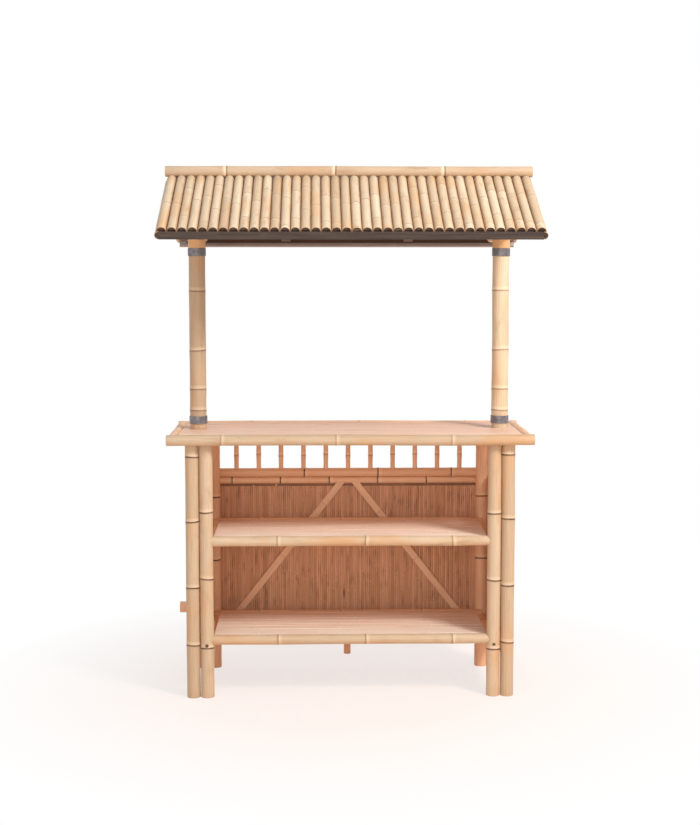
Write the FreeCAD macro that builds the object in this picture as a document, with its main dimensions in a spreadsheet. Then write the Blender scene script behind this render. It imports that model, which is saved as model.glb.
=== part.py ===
import FreeCAD
import Part
import Sketcher
import os
import re

# Outdoor garden bar of bamboo, in millimetres.
# X runs along the counter, Y points to the guests' side and Z points up.
# The origin lies on the ground, in the middle of the outline.

SIZES = {
    # counter
    "counter_width": 1500,
    "counter_depth": 600,
    "counter_height": 1100,
    "edge_pole_diameter": 45,
    "slat_thickness": 8,
    "slat_pitch": 30,
    "slat_gap": 1,
    "slat_drop": 3,
    "bearer_diameter": 50,
    "balusters_per_bearer": 3,
    # posts of the base
    "post_diameter": 56,
    "post_wall": 7,
    "post_pair_gap": 1.6,
    "post_end_inset": 71,
    "post_row_inset": 65,
    "post_top_drop": 25,
    "post_floor": 6,
    "outer_first_ring": 217,
    "outer_internode": 264,
    "inner_first_ring": 204,
    "inner_internode": 286,
    # rings of the bamboo at its nodes
    "ring_rise": 1.2,
    "ring_reach": 4,
    "rail_internode": 330,
    "thin_rail_internode": 218,
    "pole_internode": 380,
    # shelves
    "shelf_pole_diameter": 42,
    "middle_shelf_drop": 425,
    "lower_shelf_height": 262,
    "shelf_bearer_diameter": 36,
    "shelf_bearer_pitch": 320,
    # screen towards the guests and at both ends
    "screen_offset": 16,
    "panel_thickness": 8,
    "strip_width": 24,
    "strip_groove_width": 3,
    "strip_groove_depth": 1.5,
    "upper_rail_diameter": 39,
    "upper_rail_drop": 208,
    "lower_rail_diameter": 29,
    "bottom_rail_diameter": 40,
    "bottom_rail_height": 190,
    "baluster_diameter": 21,
    "baluster_pitch": 98.8,
    "baluster_ring_height": 57,
    "brace_width": 32,
    "brace_thickness": 10,
    "brace_top_spread": 37,
    "brace_end_gap": 31,
    # foot rail
    "foot_rail_diameter": 50,
    "foot_rail_overhang": 18,
    "foot_rail_axis_height": 222,
    "foot_rail_distance": 218,
    "side_rail_diameter": 44,
    "foot_rail_leg_diameter": 32,
    "leg_ring_height": 155,
    "pole_wall": 6,
    "thin_wall": 4,
    # posts of the roof
    "roof_post_diameter": 70,
    "roof_post_wall": 8,
    "roof_post_inset": 11,
    "roof_post_first_ring": 260,
    "roof_post_internode": 168,
    "collar_wall": 3,
    "collar_height": 32,
    "lower_collar_rise": 22,
    "head_diameter": 74,
    "head_height": 50,
    "tie_beam_diameter": 50,
    "tie_beam_length": 680,
    "tie_beam_sink": 20,
    "tie_beam_drop": 288,
    "purlin_diameter": 36,
    # roof
    "total_height": 2200,
    "roof_end_overhang": 18,
    "roof_eave_overhang": 180,
    "ridge_internode": 456,
    "roof_slope": 26.1,
    "ridge_pole_diameter": 46,
    "cane_pitch": 40,
    "cane_gap": 0.6,
    "cane_wall": 5,
    "verge_cane_diameter": 33,
    "verge_cane_wall": 4,
    "batten_thickness": 9,
    "batten_width": 30,
    "upper_batten_distance": 40,
    "middle_batten_distance": 270,
    "rafter_width": 42,
    "rafter_depth": 24,
    "inner_rafter_inset": 456,
    "fascia_thickness": 15,
    "rear_fascia_drop": 20,
    "ridge_beam_thickness": 16,
    "ridge_beam_height": 70,
    # room left where two pieces meet
    "seat": 0.2,
}

# Places that follow from the sizes above, each named once.
PLACES = {
    "inner_post_x": "outer_post_x - post_diameter - post_pair_gap",
    "outer_post_x": "counter_width / 2 - post_end_inset - post_diameter / 2",
    "post_y": "counter_depth / 2 - post_row_inset",
    "edge_pole_z": "counter_height - edge_pole_diameter / 2",
    "edge_pole_y": "counter_depth / 2 - edge_pole_diameter / 2",
    "edge_pole_x": "counter_width / 2 - edge_pole_diameter / 2",
    "slat_top": "counter_height - slat_drop",
    "slat_bottom": "slat_top - slat_thickness",
    "post_top": "counter_height - post_top_drop",
    "screen_y": "post_y + screen_offset",
    "upper_rail_height": "counter_height - upper_rail_drop",
    "middle_shelf_height": "counter_height - middle_shelf_drop",
    "panel_top": "upper_rail_height - upper_rail_diameter - lower_rail_diameter - 2 * seat",
    "panel_bottom": "bottom_rail_height",
    "upper_rail_z": "upper_rail_height - upper_rail_diameter / 2",
    "lower_rail_z": "upper_rail_height - upper_rail_diameter - seat - lower_rail_diameter / 2",
    "bottom_rail_z": "bottom_rail_height - seat - bottom_rail_diameter / 2",
    "brace_y": "screen_y - panel_thickness / 2 - seat - brace_thickness",
    "shelf_front_y": "-post_y",
    "shelf_rear_y": "brace_y - seat - shelf_pole_diameter / 2",
    "brace_bottom_spread": "inner_post_x - post_diameter / 2 - brace_end_gap",
    "foot_rail_y": "post_y + foot_rail_distance",
    "foot_rail_length": "counter_width + 2 * foot_rail_overhang",
    "roof_post_x": "outer_post_x - roof_post_inset",
    "lower_collar_bottom": "slat_top + lower_collar_rise",
    "lower_joint_z": "lower_collar_bottom + collar_height / 2",
    "tie_beam_z": "total_height - tie_beam_drop",
    "head_top": "tie_beam_z - tie_beam_diameter / 2 + tie_beam_sink",
    "head_bottom": "head_top - head_height",
    "upper_collar_top": "head_bottom - seat",
    "upper_collar_bottom": "upper_collar_top - collar_height",
    "roof_length": "counter_width + 2 * roof_end_overhang",
    "roof_depth": "counter_depth + 2 * roof_eave_overhang",
    "purlin_z": "tie_beam_z + tie_beam_diameter / 2 + seat + purlin_diameter / 2",
    "cane_diameter": "cane_pitch - cane_gap",
    "ridge_z": "total_height - ring_rise - ridge_pole_diameter / 2",
    "cane_start": "(ridge_beam_thickness / 2 + seat) / cos(roof_slope)",
    "cane_corner_y": "cane_diameter / 2 * sin(roof_slope) + ridge_beam_thickness / 2 + seat",
    "cane_corner_rise": "cane_diameter / 2 * cos(roof_slope) - cane_start * sin(roof_slope)",
    "ridge_rise": "sqrt(pow(ridge_pole_diameter / 2 + seat; 2) - pow(cane_corner_y; 2))",
    "cane_plane": "ridge_z - ridge_rise - cane_corner_rise",
    "slope_length": "(roof_depth / 2 - cane_diameter / 2 * sin(roof_slope)) / cos(roof_slope)",
    "rafter_bottom": "batten_thickness + rafter_depth + 2 * seat",
    "purlin_drop": "(rafter_bottom + purlin_diameter / 2 + seat) / cos(roof_slope)",
    "purlin_y": "(cane_plane - purlin_drop - purlin_z) / tan(roof_slope)",
    "outer_rafter_face": "roof_length / 2 - verge_cane_diameter / 2 - seat",
    "inner_rafter_x": "outer_rafter_face - inner_rafter_inset",
}

document = FreeCAD.newDocument("GardenBar")
sheet = document.addObject("Spreadsheet::Sheet", "Sizes")
for row, (alias, number) in enumerate(SIZES.items(), start=1):
    sheet.set("A%d" % row, alias)
    sheet.set("B%d" % row, str(number))
    sheet.setAlias("B%d" % row, alias)
document.recompute()


def formula(text):
    """The text with each named size or place turned into an expression of the sheet."""
    def spell(match):
        word = match.group(0)
        if word in PLACES:
            return "(" + formula(PLACES[word]) + ")"
        if word in SIZES:
            return "Sizes." + word
        return word
    return re.sub(r"[a-z_]+", spell, str(text))


def value(text):
    """The number that a formula has now, for counts and for ends of loops."""
    return float(sheet.evalExpression(formula(text)))


ALONG_X = FreeCAD.Rotation(FreeCAD.Vector(0, 1, 0), 90)
ALONG_Y = FreeCAD.Rotation(FreeCAD.Vector(1, 0, 0), -90)
UPRIGHT = FreeCAD.Rotation()
nodes = []
loose_number = 0


def add(kind, sizes, place=("0", "0", "0"), turn=UPRIGHT):
    """One feature whose sizes and place are bound to the sheet."""
    global loose_number
    loose_number += 1
    item = document.addObject(kind, "Piece%03d" % loose_number)
    for size_name, text in sizes.items():
        item.setExpression(size_name, formula(text))
    item.Placement = FreeCAD.Placement(FreeCAD.Vector(), turn)
    for axis, text in zip("xyz", place):
        item.setExpression("Placement.Base." + axis, formula(text))
    return item


def box(length, width, height, place, turn=UPRIGHT):
    return add("Part::Box", {"Length": length, "Width": width, "Height": height}, place, turn)


def rod(diameter, length, place, turn=UPRIGHT):
    return add("Part::Cylinder", {"Radius": "(%s) / 2" % diameter, "Height": length}, place, turn)


def cut(base, *tools):
    """The base with each tool taken out of it."""
    global loose_number
    for tool in tools:
        loose_number += 1
        rest = document.addObject("Part::Cut", "Piece%03d" % loose_number)
        rest.Base = base
        rest.Tool = tool
        base = rest
    return base


def tube(diameter, wall, length, place, turn=UPRIGHT):
    """A plain pipe."""
    outside = rod(diameter, length, place, turn)
    hollow = rod("%s - 2 * (%s)" % (diameter, wall), length, place, turn)
    return cut(outside, hollow)


def origin_part(body, role):
    """One of the body's own planes or axes."""
    return [feature for feature in body.Origin.OriginFeatures if feature.Role == role][0]


def outline_sketch(body, role, corners):
    """A closed outline on one of the body's own planes, each corner bound to the sheet."""
    global loose_number
    loose_number += 1
    sketch = body.newObject("Sketcher::SketchObject", "Outline%03d" % loose_number)
    sketch.AttachmentSupport = [(origin_part(body, role), "")]
    sketch.MapMode = "FlatFace"
    places = [FreeCAD.Vector(value(across), value(up), 0) for across, up in corners]
    count = len(places)
    sketch.addGeometry([Part.LineSegment(places[i], places[(i + 1) % count]) for i in range(count)])
    rules = [Sketcher.Constraint("Coincident", i, 2, (i + 1) % count, 1) for i in range(count)]
    bindings = []
    for index, (across, up) in enumerate(corners):
        if across == "0":
            rules.append(Sketcher.Constraint("PointOnObject", index, 1, -2))
        else:
            bindings.append((len(rules), across))
            rules.append(Sketcher.Constraint("DistanceX", -1, 1, index, 1, places[index].x))
        if up == "0":
            rules.append(Sketcher.Constraint("PointOnObject", index, 1, -1))
        else:
            bindings.append((len(rules), up))
            rules.append(Sketcher.Constraint("DistanceY", -1, 1, index, 1, places[index].y))
    sketch.addConstraint(rules)
    for number, text in bindings:
        sketch.setExpression("Constraints[%d]" % number, formula(text))
    return sketch


def new_body(place, turn=UPRIGHT):
    global loose_number
    loose_number += 1
    body = document.addObject("PartDesign::Body", "Body%03d" % loose_number)
    body.Placement = FreeCAD.Placement(FreeCAD.Vector(), turn)
    for axis, text in zip("xyz", place):
        body.setExpression("Placement.Base." + axis, formula(text))
    return body


def culm(diameter, wall, length, place, turn=UPRIGHT, first_ring=None, internode=None, floor=None):
    """A hollow bamboo pole with a raised ring at each node, turned from its outline."""
    outer = "(%s) / 2" % diameter
    inner = "(%s) / 2 - (%s)" % (diameter, wall)
    corners = [(outer, "0")]
    if internode:
        room = value(length) - 2 * value("ring_reach")
        count = int((room - value(first_ring)) // value(internode)) + 1
        for index in range(count):
            ring = "(%s) + %d * (%s)" % (first_ring, index, internode)
            corners.append((outer, "%s - ring_reach" % ring))
            corners.append(("%s + ring_rise" % outer, ring))
            corners.append((outer, "%s + ring_reach" % ring))
    corners += [(outer, length), (inner, length)]
    if floor:
        corners += [(inner, floor), ("0", floor), ("0", "0")]
    else:
        corners += [(inner, "0")]
    body = new_body(place, turn)
    sketch = outline_sketch(body, "XZ_Plane", corners)
    turned = body.newObject("PartDesign::Revolution", body.Name + "Turned")
    turned.Profile = sketch
    turned.ReferenceAxis = (sketch, ["V_Axis"])
    turned.Angle = 360
    sketch.Visibility = False
    body.Tip = turned
    return body


def middle_rings(length, internode):
    """Where the first ring sits so that the rings lie evenly about the middle of a pole."""
    count = max(1, int(value(length) // value(internode)))
    return "(%s) / 2 - (%s) * %s" % (length, internode, (count - 1) / 2)


def ringed(diameter, wall, length, place, turn, internode):
    return culm(diameter, wall, length, place, turn, middle_rings(length, internode), internode)


def seat_for(diameter, length, place, turn=UPRIGHT):
    """A rod that cuts a rounded seat for a pole of this diameter."""
    return rod("%s + 2 * seat" % diameter, length, place, turn)


def group(pieces):
    """Several solids that share one node."""
    global loose_number
    loose_number += 1
    together = document.addObject("Part::Compound", "Piece%03d" % loose_number)
    together.Links = pieces
    return together


def node(name, piece):
    """Keep a finished piece as a sub-part under its name."""
    piece.Label = name
    nodes.append(piece)
    return piece


def centred(count, pitch, index):
    """The place of one of many like pieces spread evenly about the middle."""
    return "(%s) * (%s)" % (pitch, index - (count - 1) / 2)


SIDES = (("left", "-"), ("right", "+"))
ROWS = (("front", "-"), ("rear", "+"))


def edge_pole_seat(sign):
    """Cutter in the place of the long edge pole of one side of the counter."""
    return seat_for("edge_pole_diameter", "counter_width",
                    ("-counter_width / 2", sign + "(edge_pole_y)", "edge_pole_z"), ALONG_X)


def make_base_posts():
    """Eight bamboo posts in four pairs, with tops shaped to the bearers and edge poles."""
    for row, row_sign in ROWS:
        for side, side_sign in SIDES:
            pair = []
            for place_name in ("outer", "inner"):
                post_x = side_sign + "(" + place_name + "_post_x)"
                post_y = row_sign + "(post_y)"
                post = culm("post_diameter", "post_wall", "post_top", (post_x, post_y, "0"), UPRIGHT,
                            place_name + "_first_ring", place_name + "_internode", "post_floor")
                bearer = seat_for("bearer_diameter", "counter_depth",
                                  (post_x, "-counter_depth / 2", "slat_bottom"), ALONG_Y)
                pair.append(cut(post, bearer, edge_pole_seat(row_sign)))
            node("%s_%s_posts" % (row, side), group(pair))


def half_round_bearer(diameter, bearer_x, start_y, end_y, flat_z):
    """A split bamboo laid front to back with its flat side up."""
    length = "(%s) - (%s)" % (end_y, start_y)
    whole = rod(diameter, length, (bearer_x, start_y, flat_z), ALONG_Y)
    above = box("2 * (%s)" % diameter, length, diameter,
                ("(%s) - (%s)" % (bearer_x, diameter), start_y, flat_z))
    return cut(whole, above)


def slat_row(start_x, end_x, start_y, end_y, top_z):
    """Flat slats that run along X, one beside the other."""
    depth = value(end_y) - value(start_y)
    count = max(1, round(depth / value("slat_pitch")))
    slats = []
    for index in range(count):
        pitch = "((%s) - (%s)) / %d" % (end_y, start_y, count)
        slat_y = "(%s) + %d * (%s) + slat_gap / 2" % (start_y, index, pitch)
        slats.append(box("(%s) - (%s)" % (end_x, start_x), "%s - slat_gap" % pitch, "slat_thickness",
                         (start_x, slat_y, "(%s) - slat_thickness" % top_z)))
    return group(slats)


def make_counter():
    """Counter top: a frame of round edge poles round a field of slats on bearers."""
    for row, sign in ROWS:
        node("counter_%s_edge" % row,
             ringed("edge_pole_diameter", "pole_wall", "counter_width",
                    ("-counter_width / 2", sign + "(edge_pole_y)", "edge_pole_z"), ALONG_X,
                    "pole_internode"))
    ends = []
    for sign in "-+":
        pole = ringed("edge_pole_diameter", "pole_wall", "2 * (edge_pole_y)",
                      (sign + "(edge_pole_x)", "-(edge_pole_y)", "edge_pole_z"), ALONG_Y, "pole_internode")
        ends.append(cut(pole, edge_pole_seat("-"), edge_pole_seat("+")))
    node("counter_end_edges", group(ends))
    clear_x = "counter_width / 2 - edge_pole_diameter - seat"
    clear_y = "counter_depth / 2 - edge_pole_diameter"
    node("counter_slats", slat_row("-(%s)" % clear_x, clear_x, "-(%s)" % clear_y, clear_y, "slat_top"))
    bearers = []
    places = [sign + "(%s_post_x)" % which for which in ("outer", "inner") for sign in "-+"]
    pitch = "balusters_per_bearer * baluster_pitch"
    # the bearers between the posts stop short of the ones over the inner posts
    room = value("inner_post_x - bearer_diameter * 1.5")
    pairs = int(room / value(pitch) + 0.5)
    places += [centred(2 * pairs, pitch, index) for index in range(2 * pairs)]
    for bearer_x in places:
        bearer = half_round_bearer("bearer_diameter", bearer_x, "-(edge_pole_y)", "edge_pole_y",
                                   "slat_bottom - seat")
        bearers.append(cut(bearer, edge_pole_seat("-"), edge_pole_seat("+")))
    node("counter_bearers", group(bearers))


def post_seat(which, row_sign, side_sign):
    """Cutter in the place of one post of the base."""
    return seat_for("post_diameter", "counter_height",
                    (side_sign + "(%s_post_x)" % which, row_sign + "(post_y)", "0"))


def pole_between_posts(diameter, pole_y, pole_z, row_sign, internode):
    """A pole along X whose ends are shaped to the two inner posts."""
    pole = ringed(diameter, "thin_wall", "2 * (inner_post_x)",
                  ("-(inner_post_x)", pole_y, pole_z), ALONG_X, internode)
    return cut(pole, post_seat("inner", row_sign, "-"), post_seat("inner", row_sign, "+"))


def make_shelf(name, crest):
    """A shelf of slats between a front pole and a rear pole; returns the bearers under it."""
    axis = "%s - shelf_pole_diameter / 2" % crest
    node(name + "_poles", group([
        pole_between_posts("shelf_pole_diameter", "shelf_front_y", axis, "-", "pole_internode"),
        pole_between_posts("shelf_pole_diameter", "shelf_rear_y", axis, "+", "pole_internode")]))
    start_y = "shelf_front_y + shelf_pole_diameter / 2"
    end_y = "shelf_rear_y - shelf_pole_diameter / 2"
    reach = "inner_post_x - post_diameter / 2 - seat"
    top = "%s - slat_drop" % crest
    node(name + "_slats", slat_row("-(%s)" % reach, reach, start_y, end_y, top))
    count = max(2, int(2 * value(reach) // value("shelf_bearer_pitch")) + 1)
    bearers = []
    for index in range(count):
        bearer = half_round_bearer("shelf_bearer_diameter",
                                   centred(count, "shelf_bearer_pitch", index),
                                   "shelf_front_y", "shelf_rear_y",
                                   "%s - slat_thickness - seat" % top)
        for pole_y in ("shelf_front_y", "shelf_rear_y"):
            pole = seat_for("shelf_pole_diameter", "counter_width",
                            ("-counter_width / 2", pole_y, axis), ALONG_X)
            bearer = cut(bearer, pole)
        bearers.append(bearer)
    return bearers


def baluster(baluster_x, baluster_y, rail_turn, top_seat):
    """A thin cane from the upper rail to the slats, shaped to the rail below it and the poles above it."""
    cane = culm("baluster_diameter", "thin_wall", "slat_bottom - seat - (upper_rail_z)",
                (baluster_x, baluster_y, "upper_rail_z"), UPRIGHT,
                "upper_rail_diameter / 2 + baluster_ring_height", "pole_internode")
    if rail_turn is ALONG_X:
        start = ("(%s) - counter_width / 2" % baluster_x, baluster_y, "upper_rail_z")
    else:
        start = (baluster_x, "(%s) - counter_width / 2" % baluster_y, "upper_rail_z")
    rail = seat_for("upper_rail_diameter", "counter_width", start, rail_turn)
    return cut(cane, rail, top_seat)


def baluster_places(clear):
    """Places of the balusters, one in the middle and the rest spread to both sides."""
    room = value(clear) - value("baluster_diameter")
    each_side = int(room // value("baluster_pitch"))
    count = 2 * each_side + 1
    return [centred(count, "baluster_pitch", index) for index in range(count)]


def strip_grooves(body, middle, face_sign):
    """Rows of small grooves along one face of a panel, one between every two split strips."""
    face = face_sign + "panel_thickness / 2"
    floor = face_sign + "(panel_thickness / 2 - strip_groove_depth)"
    sketch = outline_sketch(body, "XY_Plane", [("%s - strip_groove_width / 2" % middle, face),
                                               ("%s + strip_groove_width / 2" % middle, face),
                                               (middle, floor)])
    groove = body.newObject("PartDesign::Pocket", body.Name + "Groove")
    groove.Profile = sketch
    groove.Type = "ThroughAll"
    groove.Midplane = True
    sketch.Visibility = False
    body.Tip = groove
    return groove


def split_panel(width, place, turn=UPRIGHT):
    """A board of upright split bamboo strips, grooved between them on both faces."""
    body = new_body(place, turn)
    side = "(%s) / 2" % width
    face = "panel_thickness / 2"
    slab = outline_sketch(body, "XY_Plane", [("-" + side, "-" + face), (side, "-" + face),
                                             (side, face), ("-" + side, face)])
    pad = body.newObject("PartDesign::Pad", body.Name + "Slab")
    pad.Profile = slab
    pad.setExpression("Length", formula("panel_top - (panel_bottom) - seat"))
    slab.Visibility = False
    body.Tip = pad
    document.recompute()
    count = int(value(width) // value("strip_width")) - 1
    first = centred(count, "strip_width", 0)
    grooves = [strip_grooves(body, first, sign) for sign in "-+"]
    row = body.newObject("PartDesign::LinearPattern", body.Name + "Grooves")
    row.Originals = grooves
    row.Direction = (origin_part(body, "X_Axis"), [""])
    row.setExpression("Length", formula("%d * strip_width" % (count - 1)))
    row.Occurrences = count
    body.Tip = row
    return body


def make_guest_screen():
    """Split bamboo screen towards the guests, framed by rails, with balusters above it."""
    panel = split_panel("2 * (inner_post_x)", ("0", "screen_y", "panel_bottom"))
    node("guest_panel", cut(panel, post_seat("inner", "+", "-"), post_seat("inner", "+", "+")))
    node("guest_upper_rail",
         pole_between_posts("upper_rail_diameter", "screen_y", "upper_rail_z", "+", "rail_internode"))
    node("guest_lower_rail",
         pole_between_posts("lower_rail_diameter", "screen_y", "lower_rail_z", "+", "thin_rail_internode"))
    node("guest_bottom_rail",
         pole_between_posts("bottom_rail_diameter", "screen_y", "bottom_rail_z", "+", "rail_internode"))
    node("guest_balusters",
         group([baluster(place, "screen_y", ALONG_X, edge_pole_seat("+"))
                for place in baluster_places("inner_post_x - post_diameter / 2")]))
    right = make_brace()
    left = document.addObject("Part::Mirroring", "LeftBrace")
    left.Source = right
    left.Normal = FreeCAD.Vector(1, 0, 0)
    node("screen_braces", group([left, right]))


def make_brace():
    """A flat strip on the inner face of the guest panel, leaning out from the middle to the right foot."""
    rise = "(panel_top - (panel_bottom) - seat)"
    spread = "(brace_bottom_spread - brace_top_spread)"
    half_cut = "brace_width / 2 * sqrt(pow(%s; 2) + pow(%s; 2)) / %s" % (rise, spread, rise)
    body = new_body(("0", "brace_y + brace_thickness", "panel_bottom"))
    sketch = outline_sketch(body, "XZ_Plane", [
        ("brace_bottom_spread - %s" % half_cut, "0"), ("brace_bottom_spread + %s" % half_cut, "0"),
        ("brace_top_spread + %s" % half_cut, rise), ("brace_top_spread - %s" % half_cut, rise)])
    pad = body.newObject("PartDesign::Pad", body.Name + "Strip")
    pad.Profile = sketch
    pad.setExpression("Length", formula("brace_thickness"))
    body.Tip = pad
    return body


def make_side_screens():
    """The same screen closes both ends between the outer posts."""
    panels = []
    rails = []
    canes = []
    for sign in "-+":
        side_x = sign + "(outer_post_x)"
        posts = [post_seat("outer", row_sign, sign) for row_sign in "-+"]
        panel = split_panel("2 * (post_y)", (side_x, "0", "panel_bottom"),
                            FreeCAD.Rotation(FreeCAD.Vector(0, 0, 1), 90))
        panels.append(cut(panel, *posts))
        for which in ("upper_rail", "lower_rail", "bottom_rail"):
            rail = ringed(which + "_diameter", "thin_wall", "2 * (post_y)",
                          (side_x, "-(post_y)", which + "_z"), ALONG_Y, "thin_rail_internode")
            rails.append(cut(rail, *posts))
        for place in baluster_places("post_y - post_diameter / 2"):
            bearer = seat_for("bearer_diameter", "counter_depth",
                              (side_x, "-counter_depth / 2", "slat_bottom"), ALONG_Y)
            canes.append(baluster(side_x, place, ALONG_Y, bearer))
    node("side_panels", group(panels))
    node("side_rails", group(rails))
    node("side_balusters", group(canes))


def make_foot_rail():
    """A rail for the guests' feet on two arms and a middle leg."""
    start_x = "-(foot_rail_length) / 2"
    rail_z = "foot_rail_axis_height"
    node("foot_rail", ringed("foot_rail_diameter", "pole_wall", "foot_rail_length",
                             (start_x, "foot_rail_y", rail_z), ALONG_X, "rail_internode"))
    leg = culm("foot_rail_leg_diameter", "thin_wall", rail_z, ("0", "foot_rail_y", "0"), UPRIGHT,
               "leg_ring_height", "rail_internode", "post_floor")
    rail = seat_for("foot_rail_diameter", "foot_rail_length", (start_x, "foot_rail_y", rail_z), ALONG_X)
    node("foot_rail_leg", cut(leg, rail))
    arms = []
    stretchers = []
    for sign in "-+":
        arm_x = sign + "(inner_post_x)"
        arm = ringed("side_rail_diameter", "thin_wall", "foot_rail_distance",
                     (arm_x, "post_y", rail_z), ALONG_Y, "thin_rail_internode")
        arm_rail = seat_for("foot_rail_diameter", "foot_rail_length",
                            (start_x, "foot_rail_y", rail_z), ALONG_X)
        arms.append(cut(arm, post_seat("inner", "+", sign), arm_rail))
        stretcher = ringed("side_rail_diameter", "thin_wall", "2 * (post_y)",
                           (arm_x, "-(post_y)", rail_z), ALONG_Y, "thin_rail_internode")
        stretchers.append(cut(stretcher, post_seat("inner", "-", sign), post_seat("inner", "+", sign)))
    node("foot_rail_arms", group(arms))
    node("base_stretchers", group(stretchers))


def make_roof_posts():
    """Two posts on the counter with dark collars at the joints and a head under the roof."""
    stubs = []
    lower_collars = []
    upper_collars = []
    heads = []
    beams = []
    for side, sign in SIDES:
        post_x = sign + "(roof_post_x)"
        stubs.append(tube("roof_post_diameter", "roof_post_wall",
                          "lower_joint_z - (slat_top) - 2 * seat", (post_x, "0", "slat_top + seat")))
        node("%s_roof_post" % side,
             culm("roof_post_diameter", "roof_post_wall", "upper_collar_top - (lower_joint_z)",
                  (post_x, "0", "lower_joint_z"), UPRIGHT, "roof_post_first_ring", "roof_post_internode"))
        for collars, bottom in ((lower_collars, "lower_collar_bottom"),
                                (upper_collars, "upper_collar_bottom")):
            collars.append(tube("(roof_post_diameter + 2 * seat + 2 * collar_wall)", "collar_wall",
                                "collar_height", (post_x, "0", bottom)))
        head = tube("head_diameter", "roof_post_wall", "head_height", (post_x, "0", "head_bottom"))
        beam_place = (post_x, "-tie_beam_length / 2", "tie_beam_z")
        heads.append(cut(head, seat_for("tie_beam_diameter", "tie_beam_length", beam_place, ALONG_Y)))
        beams.append(ringed("tie_beam_diameter", "pole_wall", "tie_beam_length", beam_place, ALONG_Y,
                            "rail_internode"))
    node("post_stubs", group(stubs))
    node("lower_collars", group(lower_collars))
    node("upper_collars", group(upper_collars))
    node("post_heads", group(heads))
    node("tie_beams", group(beams))


def on_slope(piece, sign):
    """Lay a piece, made flat with Y down the slope, on the front or the rear slope."""
    if sign == "+":
        first_axis = FreeCAD.Vector(1, 0, 0)
        axis = ("1", "0", "0")
        angle = formula("-roof_slope")
    else:
        # a half turn about an axis that leans back by half the slope
        first_axis = FreeCAD.Vector(0, -1, 1)
        axis = ("0", formula("-sin(roof_slope / 2)"), formula("cos(roof_slope / 2)"))
        angle = "180"
    piece.Placement = FreeCAD.Placement(FreeCAD.Vector(), FreeCAD.Rotation(first_axis, value("roof_slope")))
    for name, text in zip("xyz", axis):
        piece.setExpression("Placement.Rotation.Axis." + name, text)
    piece.setExpression("Placement.Rotation.Angle", angle)
    for name, text in zip("xyz", ("0", "0", formula("cane_plane"))):
        piece.setExpression("Placement.Base." + name, text)
    return piece


def half_cane(diameter, wall, length, place, cover):
    """A split cane along Y, kept on the side that the cover box doesn't reach."""
    return cut(tube(diameter, wall, length, place, ALONG_Y), cover)


def make_canes(row, sign):
    count = int(value("roof_length") // value("cane_pitch"))
    canes = []
    for index in range(count):
        cane_x = centred(count, "cane_pitch", index)
        length = "slope_length - (cane_start)"
        below = box("2 * cane_pitch", "slope_length", "cane_pitch",
                    ("%s - cane_pitch" % cane_x, "0", "-cane_pitch"))
        canes.append(half_cane("(cane_diameter)", "cane_wall", length,
                               (cane_x, "cane_start", "0"), below))
    node("%s_roof_canes" % row, on_slope(group(canes), sign))


def past_ridge(sign, gap):
    """Cutter for what a slope's piece would reach past a plumb plane near the ridge."""
    start_y = "-(roof_depth) + (%s)" % gap if sign == "+" else "-(%s)" % gap
    return box("2 * (roof_length)", "roof_depth", "total_height + (roof_depth)",
               ("-(roof_length)", start_y, "0"))


def make_roof():
    """A gabled roof of half-round canes on battens, rafters and a ridge beam."""
    verge = []
    battens = []
    for row, sign in ROWS:
        make_canes(row, sign)
        batten_top = "-batten_thickness - seat"
        for distance in ("upper_batten_distance", "middle_batten_distance"):
            batten = box("2 * (outer_rafter_face)", "batten_width", "batten_thickness",
                         ("-(outer_rafter_face)", distance, batten_top))
            battens.append(on_slope(group([batten]), sign))
        rafters = []
        for rafter_x in ("-(outer_rafter_face)", "-(inner_rafter_x)",
                         "inner_rafter_x - rafter_width", "outer_rafter_face - rafter_width"):
            rafters.append(box("rafter_width", "slope_length - fascia_thickness - seat", "rafter_depth",
                               (rafter_x, "0", "-(rafter_bottom)")))
        beyond = past_ridge(sign, "ridge_beam_thickness / 2 + seat")
        node("%s_rafters" % row, cut(on_slope(group(rafters), sign), beyond))
        fascia_bottom = "rafter_bottom"
        if row == "rear":
            fascia_bottom = "rafter_bottom + rear_fascia_drop"
        fascia = box("2 * (outer_rafter_face)", "fascia_thickness", "%s - seat" % fascia_bottom,
                     ("-(outer_rafter_face)", "slope_length - fascia_thickness", "-(%s)" % fascia_bottom))
        node("%s_fascia" % row, on_slope(group([fascia]), sign))
        for side, side_sign in SIDES:
            axis_x = side_sign + "(outer_rafter_face + seat)"
            if side == "left":
                inside = ("%s" % axis_x, "0", "-2 * verge_cane_diameter")
            else:
                inside = ("%s - verge_cane_diameter" % axis_x, "0", "-2 * verge_cane_diameter")
            cover = box("verge_cane_diameter", "slope_length", "4 * verge_cane_diameter", inside)
            cane = half_cane("verge_cane_diameter", "verge_cane_wall", "slope_length",
                             (axis_x, "0", "-verge_cane_diameter / 2 - seat"), cover)
            verge.append(cut(on_slope(group([cane]), sign), past_ridge(sign, "cane_gap / 2")))
    node("roof_battens", group(battens))
    node("verge_canes", group(verge))
    beam_bottom = "cane_plane - ridge_beam_height"
    beam = box("2 * (outer_rafter_face)", "ridge_beam_thickness", "ridge_z - (%s)" % beam_bottom,
               ("-(outer_rafter_face)", "-ridge_beam_thickness / 2", beam_bottom))
    node("ridge_beam", cut(beam, seat_for("(ridge_pole_diameter + 2 * ring_rise)", "2 * (roof_length)",
                                          ("-(roof_length)", "0", "ridge_z"), ALONG_X)))
    node("ridge_pole", ringed("ridge_pole_diameter", "pole_wall", "roof_length",
                              ("-(roof_length) / 2", "0", "ridge_z"), ALONG_X, "ridge_internode"))
    purlins = []
    for sign in "-+":
        purlins.append(ringed("purlin_diameter", "thin_wall", "2 * (outer_rafter_face)",
                              ("-(outer_rafter_face)", sign + "(purlin_y)", "purlin_z"), ALONG_X,
                              "pole_internode"))
    node("roof_purlins", group(purlins))


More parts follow.
